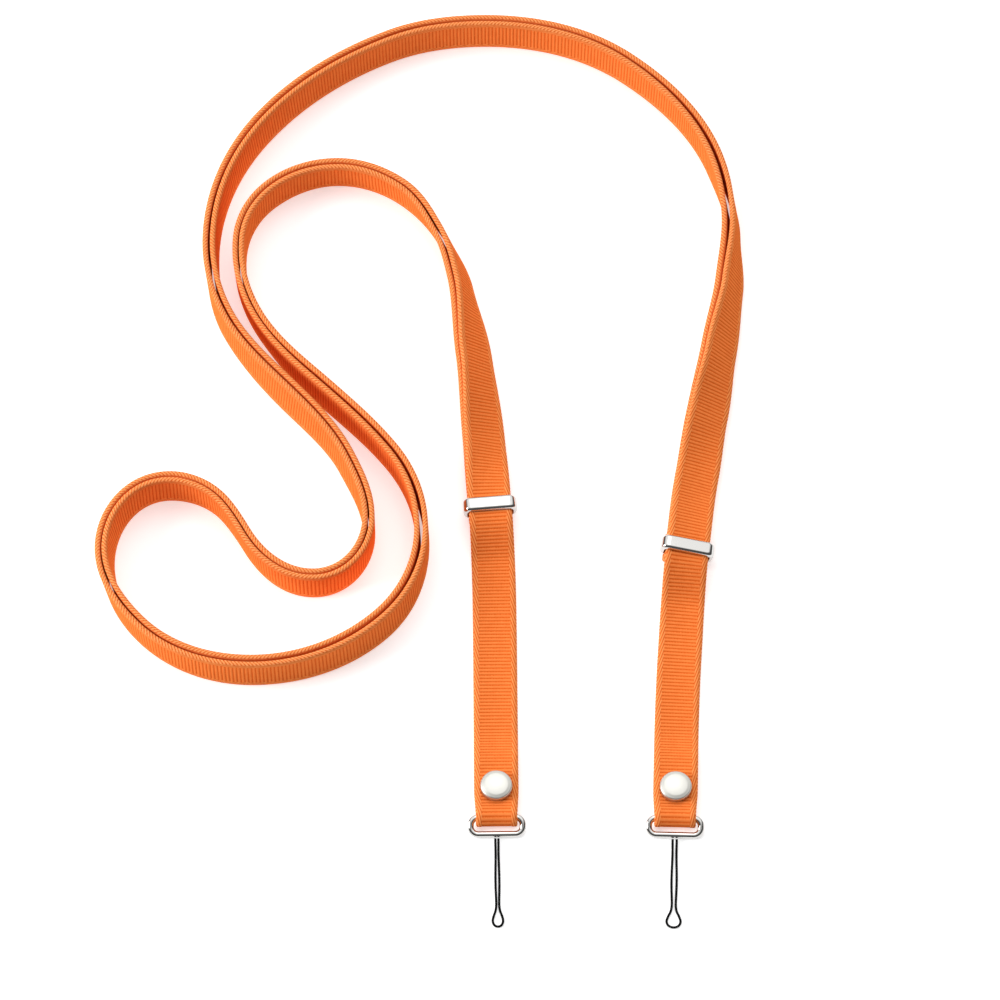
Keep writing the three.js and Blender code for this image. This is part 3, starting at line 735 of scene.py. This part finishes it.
def near_end(lay, keeper_run):
    """A ply's tail, its fold round the ring's bar and its front layer up to the keeper."""
    cap_start = SNAP_FROM_RING - CAP_RADIUS
    tail_end = TAIL_LENGTH + 2 * CLEARANCE
    hold = keeper_run - KEEPER_LENGTH / 2
    tail = [(0, HALF_PLY), (cap_start, SNAP_TAIL_HEIGHT), (TAIL_LENGTH, SNAP_TAIL_HEIGHT)]
    front = [
        (0, RING_BAR_HEIGHT + RING_FOLD_RADIUS),
        (cap_start, SNAP_FRONT_HEIGHT),
        (tail_end, SNAP_FRONT_HEIGHT),
        (tail_end + LEG_DROP, HALF_PLY),
        (hold - KEEPER_DROP, HALF_PLY),
        (hold, KEEPER_PASS_HEIGHT),
        (keeper_run, KEEPER_PASS_HEIGHT),
    ]
    points = [leg_point(lay, run, height, fold_pinch(run)) for run, height in reversed(follow_profile(tail))]
    for step in range(1, FOLD_STEPS):
        angle = math.pi * step / FOLD_STEPS
        run = -RING_FOLD_RADIUS * math.sin(angle)
        height = RING_BAR_HEIGHT - RING_FOLD_RADIUS * math.cos(angle)
        points.append(leg_point(lay, run, height, FOLD_PINCH))
    points += [leg_point(lay, run, height, fold_pinch(run)) for run, height in follow_profile(front)]
    return points


def far_end(keeper):
    """A ply's fold round the far keeper's back bar, and its tail under it."""
    depth = KEEPER_INNER_HEIGHT / 2 + KEEPER_WALL / 2
    bar = KEEPER_LENGTH / 2 - KEEPER_WALL / 2
    route = []
    for step in range(FOLD_STEPS + 1):
        angle = math.pi * step / FOLD_STEPS
        forward = bar + KEEPER_FOLD_RADIUS * math.sin(angle)
        route.append((forward, -depth + KEEPER_FOLD_RADIUS * math.cos(angle)))
    route.append((bar - KEEPER_TAIL, -depth - KEEPER_FOLD_RADIUS))
    return [
        Point(keeper.centre + keeper.way * forward - keeper.face * rise, keeper.width, 0)
        for forward, rise in route
    ]


def even_rows(points):
    """Rows at even distances along the ply, a few to each rib, and the ply's length."""
    runs = [0]
    for before, after in zip(points, points[1:]):
        runs.append(runs[-1] + (after.centre - before.centre).length)
    ribs = round(runs[-1] / RIB_PITCH)
    count = ribs * ROWS_PER_RIB
    even = []
    for index in range(count + 1):
        run = runs[-1] * index / count
        after = min(max(bisect_right(runs, run), 1), len(runs) - 1)
        share = (run - runs[after - 1]) / (runs[after] - runs[after - 1])
        start, end = points[after - 1], points[after]
        even.append(Point(*(between(a, b, share) for a, b in zip(start, end))))
    return square_rows(even), runs[-1]


# Corners of the section: where the first selvedge ends, and the middle of the other
SELVEDGE_END = 2
SELVEDGE_MIDDLE = 10


def webbing_section(pinch=0, groove=0):
    """The section from one selvedge over the face to the other, and back under it."""
    half = WEBBING_WIDTH / 2 - pinch - SELVEDGE_RELIEF * groove
    flat = WEBBING_WIDTH / 2 - pinch - SELVEDGE_ROUND
    ribbed = WEBBING_WIDTH / 2 - pinch - EDGE_BAND
    low = HALF_PLY - RIB_DEPTH * groove
    face = [
        (half, 0),
        (half - SELVEDGE_SHOULDER, SHOULDER_HEIGHT * HALF_PLY),
        (flat, HALF_PLY),
        (ribbed + BAND_SLOPE, HALF_PLY),
        (ribbed, low),
    ]
    over = face + [(0, low)] + [(-across, out) for across, out in reversed(face)]
    return over + [(-across, -out) for across, out in over[1:-1]]


def section_girth():
    """Distances round the plain section to each of its corners, and back to the first."""
    corners = webbing_section()
    girths = [0]
    for here, there in zip(corners, corners[1:] + corners[:1]):
        girths.append(girths[-1] + math.dist(here, there))
    return girths


def swept(name, rings, girths, runs):
    """A closed tube of the given rings of corners, with a weave map of girth and run."""
    sides = len(rings[0])
    corners = [corner for ring in rings for corner in ring]
    faces = []
    weave = []
    for span in range(len(rings) - 1):
        low = span * sides
        high = low + sides
        start, end = runs[span], runs[span + 1]
        for side in range(sides):
            following = (side + 1) % sides
            faces.append((low + side, low + following, high + following, high + side))
            here, there = girths[side], girths[side + 1]
            weave += [here, start, there, start, there, end, here, end]
    last = len(corners) - sides
    faces.append(tuple(reversed(range(sides))))
    faces.append(tuple(range(last, last + sides)))
    for run in (runs[0], runs[-1]):
        for _ in range(sides):
            weave += [0, run]
    mesh = bpy.data.meshes.new(name)
    mesh.from_pydata(corners, [], faces)
    mesh.uv_layers.new(name="weave").data.foreach_set("uv", weave)
    mesh.shade_smooth()
    piece = bpy.data.objects.new(name, mesh)
    bpy.context.scene.collection.objects.link(piece)
    return piece


def webbing_ply(name, lay, near_keeper, far_keeper, origin):
    """One ply from its tail at the near ring to its tail at the far keeper."""
    far = level_row(lay, far_keeper, pack_height(lay.at(far_keeper)[2], 0, 0))
    points = near_end(lay, near_keeper)[:-1] + follow_pack(lay, near_keeper, far_keeper) + far_end(far)
    rows, length = even_rows(points)
    rings = []
    for index, row in enumerate(rows):
        groove = (1 + math.cos(2 * math.pi * index / ROWS_PER_RIB)) / 2
        centre = row.centre + origin
        section = webbing_section(row.pinch, groove)
        rings.append([centre + row.width * across + row.face * out for across, out in section])
    girths = [girth / MM for girth in section_girth()]
    piece = swept(name, rings, girths, [index / ROWS_PER_RIB for index in range(len(rows))])
    return piece, length


def smooth_through(points, share_steps):
    """Close points of a smooth line through the given ones."""
    line = []
    for index in range(len(points) - 1):
        before = points[max(0, index - 1)]
        start, end = points[index], points[index + 1]
        after = points[min(len(points) - 1, index + 2)]
        lead = (end - before) / 6
        trail = (after - start) / 6
        for step in range(share_steps):
            share = step / share_steps
            rest = 1 - share
            line.append(
                start * rest**3
                + (start + lead) * (3 * rest**2 * share)
                + (end - trail) * (3 * rest * share**2)
                + end * share**3
            )
    line.append(points[-1])
    return line


def cord_loop(name, stand, bow):
    """A braided loop that leaves the ring's lower bar, and returns to it."""
    reach = RING_RADIUS + CLEARANCE
    route = [
        stand @ Vector((point.across * bow * MM, point.along * MM - reach, point.up * MM))
        for point in CORD_ROUTE
    ]
    line = smooth_through(route, CORD_STEPS)
    rows = square_rows([Point(centre, UP, 0) for centre in line])
    rings = []
    runs = []
    run = 0
    last = line[0]
    for row in rows:
        run += (row.centre - last).length / CORD_BRAID_TURN
        last = row.centre
        runs.append(run)
        ring = []
        for side in range(CORD_SIDES):
            turn = side / CORD_SIDES
            right = math.cos(2 * math.pi * (BRAID_STRANDS * turn + run))
            left = math.cos(2 * math.pi * (BRAID_STRANDS * turn - run))
            crossing = right * left
            radius = CORD_DIAMETER / 2 - CORD_RELIEF * (1 - crossing) / 2
            angle = 2 * math.pi * turn
            out = row.width * math.cos(angle) + row.face * math.sin(angle)
            ring.append(row.centre + out * radius)
        rings.append(ring)
    piece = swept(name, rings, [side / CORD_SIDES for side in range(CORD_SIDES + 1)], runs)
    length = sum((after - before).length for before, after in zip(line, line[1:]))
    return piece, line, length


# Metal pieces


def start_piece(name, **kind):
    """Adds a primitive in edit mode, as the one piece in hand."""
    bpy.ops.object.select_all(action="DESELECT")
    shape, settings = next(iter(kind.items()))
    getattr(bpy.ops.mesh, f"primitive_{shape}_add")(**settings)
    piece = bpy.context.object
    piece.name = name
    bpy.ops.object.mode_set(mode="EDIT")
    return piece


def pick(piece, kind, wanted):
    """Selects the faces, edges or corners of the piece in hand that are wanted."""
    bpy.ops.mesh.select_mode(type=kind)
    bpy.ops.mesh.select_all(action="DESELECT")
    shape = bmesh.from_edit_mesh(piece.data)
    items = {"FACE": shape.faces, "EDGE": shape.edges, "VERT": shape.verts}[kind]
    for item in items:
        if wanted(item):
            item.select_set(True)
    bmesh.update_edit_mesh(piece.data)


def finish_piece(piece, place, bevel, sharp_angle=SHARP_ANGLE):
    """Rounds the sharp edges, shades them and puts the piece in its place."""
    bpy.ops.object.mode_set(mode="OBJECT")
    if bevel:
        rounding = piece.modifiers.new("rounding", "BEVEL")
        rounding.width = bevel
        rounding.segments = EDGE_STEPS
        rounding.limit_method = "ANGLE"
        rounding.angle_limit = math.radians(ROUNDED_ANGLE)
        bpy.ops.object.modifier_apply(modifier=rounding.name)
    bpy.ops.object.shade_smooth_by_angle(angle=math.radians(sharp_angle))
    piece.matrix_world = place @ piece.matrix_world
    bpy.ops.object.transform_apply(location=True, rotation=True, scale=True)
    return piece


def standing(centre, way, up):
    """The place of a piece with its X across the strap, Y along it and Z away from the surface."""
    across = way.cross(up).normalized()
    turned = Matrix((across, way, up)).transposed().to_4x4()
    return Matrix.Translation(centre) @ turned


def is_outer_rim(edge):
    """Whether an edge lies between a keeper's end and its outside."""
    ends = [face for face in edge.link_faces if abs(face.normal.y) > FACING]
    sides = [face for face in edge.link_faces if abs(face.normal.y) < BESIDE]
    return len(ends) == 1 and len(sides) == 1 and sides[0].calc_center_median().dot(sides[0].normal) > 0


def keeper(name, place):
    """A flat loop with rounded ends: a block with a tunnel, its outer rims rounded most."""
    piece = start_piece(name, cube={"size": 1})
    width = KEEPER_INNER_WIDTH + 2 * KEEPER_WALL
    height = KEEPER_INNER_HEIGHT + 2 * KEEPER_WALL
    bpy.ops.transform.resize(value=(width, KEEPER_LENGTH, height))
    pick(piece, "EDGE", lambda edge: abs((edge.verts[0].co - edge.verts[1].co).y) > KEEPER_LENGTH / 2)
    bpy.ops.mesh.bevel(offset=KEEPER_ROUND, segments=KEEPER_ROUND_STEPS, affect="EDGES")
    pick(piece, "FACE", lambda face: abs(face.normal.y) > FACING)
    bpy.ops.mesh.inset(thickness=KEEPER_WALL)
    bpy.ops.mesh.bridge_edge_loops()
    pick(piece, "EDGE", is_outer_rim)
    bpy.ops.mesh.bevel(offset=KEEPER_RIM, segments=KEEPER_RIM_STEPS, affect="EDGES")
    return finish_piece(piece, place, KEEPER_EDGE)


def ring(name, place):
    """An oblong wire ring: a round one drawn apart to its width and depth."""
    torus = {
        "major_segments": RING_SEGMENTS,
        "minor_segments": WIRE_SEGMENTS,
        "major_radius": RING_CORNER,
        "minor_radius": RING_RADIUS,
        "rotation": (0, 0, math.pi / RING_SEGMENTS),
    }
    piece = start_piece(name, torus=torus)
    bpy.ops.object.mode_set(mode="OBJECT")
    bpy.ops.object.transform_apply(location=False, rotation=True, scale=False)
    bpy.ops.object.mode_set(mode="EDIT")
    half_width = (RING_INNER_WIDTH + RING_WIRE) / 2
    half_depth = RING_PITCH / 2
    for side in (1, -1):
        pick(piece, "VERT", lambda corner: corner.co.x * side > 0)
        bpy.ops.transform.translate(value=(side * (half_width - RING_CORNER), 0, 0))
        pick(piece, "VERT", lambda corner: corner.co.y * side > 0)
        bpy.ops.transform.translate(value=(0, side * (half_depth - RING_CORNER), 0))
    bpy.ops.mesh.select_all(action="SELECT")
    bpy.ops.transform.translate(value=(0, -half_depth, 0))
    return finish_piece(piece, place, 0)


def snap_cap(name, place):
    """A domed cap with a rounded rim, in one with its post."""
    underside = SNAP_FRONT_HEIGHT + HALF_PLY + CLEARANCE
    disc = {
        "vertices": CAP_SEGMENTS,
        "radius": CAP_RADIUS,
        "depth": CAP_RIM,
        "location": (0, 0, underside + CAP_RIM / 2),
    }
    piece = start_piece(name, cylinder=disc)
    bpy.ops.object.mode_set(mode="OBJECT")
    bpy.ops.object.transform_apply(location=True, rotation=False, scale=False)
    bpy.ops.object.mode_set(mode="EDIT")
    pick(piece, "EDGE", lambda edge: all(corner.co.z > underside + CAP_RIM / 2 for corner in edge.verts))
    bpy.ops.mesh.bevel(offset=CAP_ROUND, segments=CAP_ROUND_STEPS, affect="EDGES")
    pick(piece, "FACE", lambda face: face.normal.z > SQUARE)
    reached = CAP_RADIUS - CAP_ROUND
    raised = 0
    for step in range(1, DOME_RINGS + 1):
        radius = (CAP_RADIUS - CAP_ROUND) * (1 - step / (DOME_RINGS + 1))
        rise = CAP_DOME * (1 - (radius / CAP_RADIUS) ** 2)
        bpy.ops.mesh.inset(thickness=reached - radius)
        bpy.ops.transform.translate(value=(0, 0, rise - raised))
        reached = radius
        raised = rise
    pick(piece, "FACE", lambda face: face.normal.z < -SQUARE)
    bpy.ops.mesh.inset(thickness=CAP_RADIUS - POST_RADIUS)
    bpy.ops.mesh.extrude_region_move(
        TRANSFORM_OT_translate={"value": (0, 0, BASE_FLOOR + CLEARANCE - underside)}
    )
    return finish_piece(piece, place, 0, CAP_SHARP_ANGLE)


# The strap


def dress(piece, material, slot, *nodes):
    """Gives a new piece its material, hangs it on the root body and hides the nodes of the solids that it
    stands for.
    """
    piece.data.materials.clear()
    piece.data.materials.append(material)
    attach(piece, "root")
    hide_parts(*nodes)


def ring_stand(lay, origin):
    """The place of a ring's upper bar, level along the leg."""
    place, way, _, _ = lay.at(0)
    bar = Vector((place.x, place.y, RING_BAR_HEIGHT)) + origin
    return standing(bar, Vector((way.x, way.y, 0)), UP)


def keeper_stand(lay, run, origin):
    row = level_row(lay, run, pack_height(lay.at(run)[2], 0, 0))
    return standing(row.centre + origin, row.way, row.face)


def lay_floor():
    start_piece("floor", plane={"size": FLOOR_WIDTH})
    bpy.ops.object.mode_set(mode="OBJECT")
    floor = bpy.context.object
    floor.data.materials.append(matt_floor())


forwards, stations = follow_lay()
backwards = forwards.backwards()
left_keeper = stations["left keeper"]
right_keeper = stations["right keeper"]

# The lay starts at the left ring, and the solids' own origin is found from the left snap's base
low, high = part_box("snap_base_left")
snap_place = forwards.at(SNAP_FROM_RING)[0]
origin = Vector(((low.x + high.x) / 2 - snap_place.x, (low.y + high.y) / 2 - snap_place.y, 0))

place_camera(CAMERA_AIM + origin)
light_studio(CAMERA_AIM + origin)

legs = {"left": forwards, "right": backwards}
bows = {"left": LEFT_CORD_BOW, "right": RIGHT_CORD_BOW}
keeper_runs = {"left": left_keeper, "right": backwards.length - right_keeper}
lower_bar = Matrix.Translation(
    (0, -RING_PITCH * math.cos(RING_TILT), -RING_PITCH * math.sin(RING_TILT))
)

black_cord = braided()
for side, leg in legs.items():
    cord, line, length = cord_loop(f"cord_{side}", ring_stand(leg, origin) @ lower_bar, bows[side])
    dress(cord, black_cord, "cord", f"cord_loop_{side}")

ply_a, length_a = webbing_ply("webbing_a", forwards, left_keeper, right_keeper, origin)
ply_b, length_b = webbing_ply(
    "webbing_b", backwards, keeper_runs["right"], backwards.length - left_keeper, origin
)
dress(ply_a, woven("webbing_left_hand", 1), "webbing", "strap_a")
dress(ply_b, woven("webbing_right_hand", -1), "webbing", "strap_b")

polished_nickel = polished()
satin_nickel = satin()
for side, leg in legs.items():
    slider = keeper(f"keeper_{side}", keeper_stand(leg, keeper_runs[side], origin))
    dress(slider, polished_nickel, "polished_nickel", f"slider_{side}")
    tipped = ring_stand(leg, origin) @ Matrix.Rotation(RING_TILT, 4, "X")
    dress(ring(f"wire_ring_{side}", tipped), polished_nickel, "polished_nickel", f"ring_{side}")
    snap = leg.at(SNAP_FROM_RING)[0]
    cap = snap_cap(f"cap_{side}", Matrix.Translation(Vector((snap.x, snap.y, 0)) + origin))
    dress(cap, satin_nickel, "satin_nickel", f"snap_cap_{side}")
    base = bpy.data.objects[f"snap_base_{side}"]
    base.data.materials.clear()
    base.data.materials.append(satin_nickel)

lay_floor()
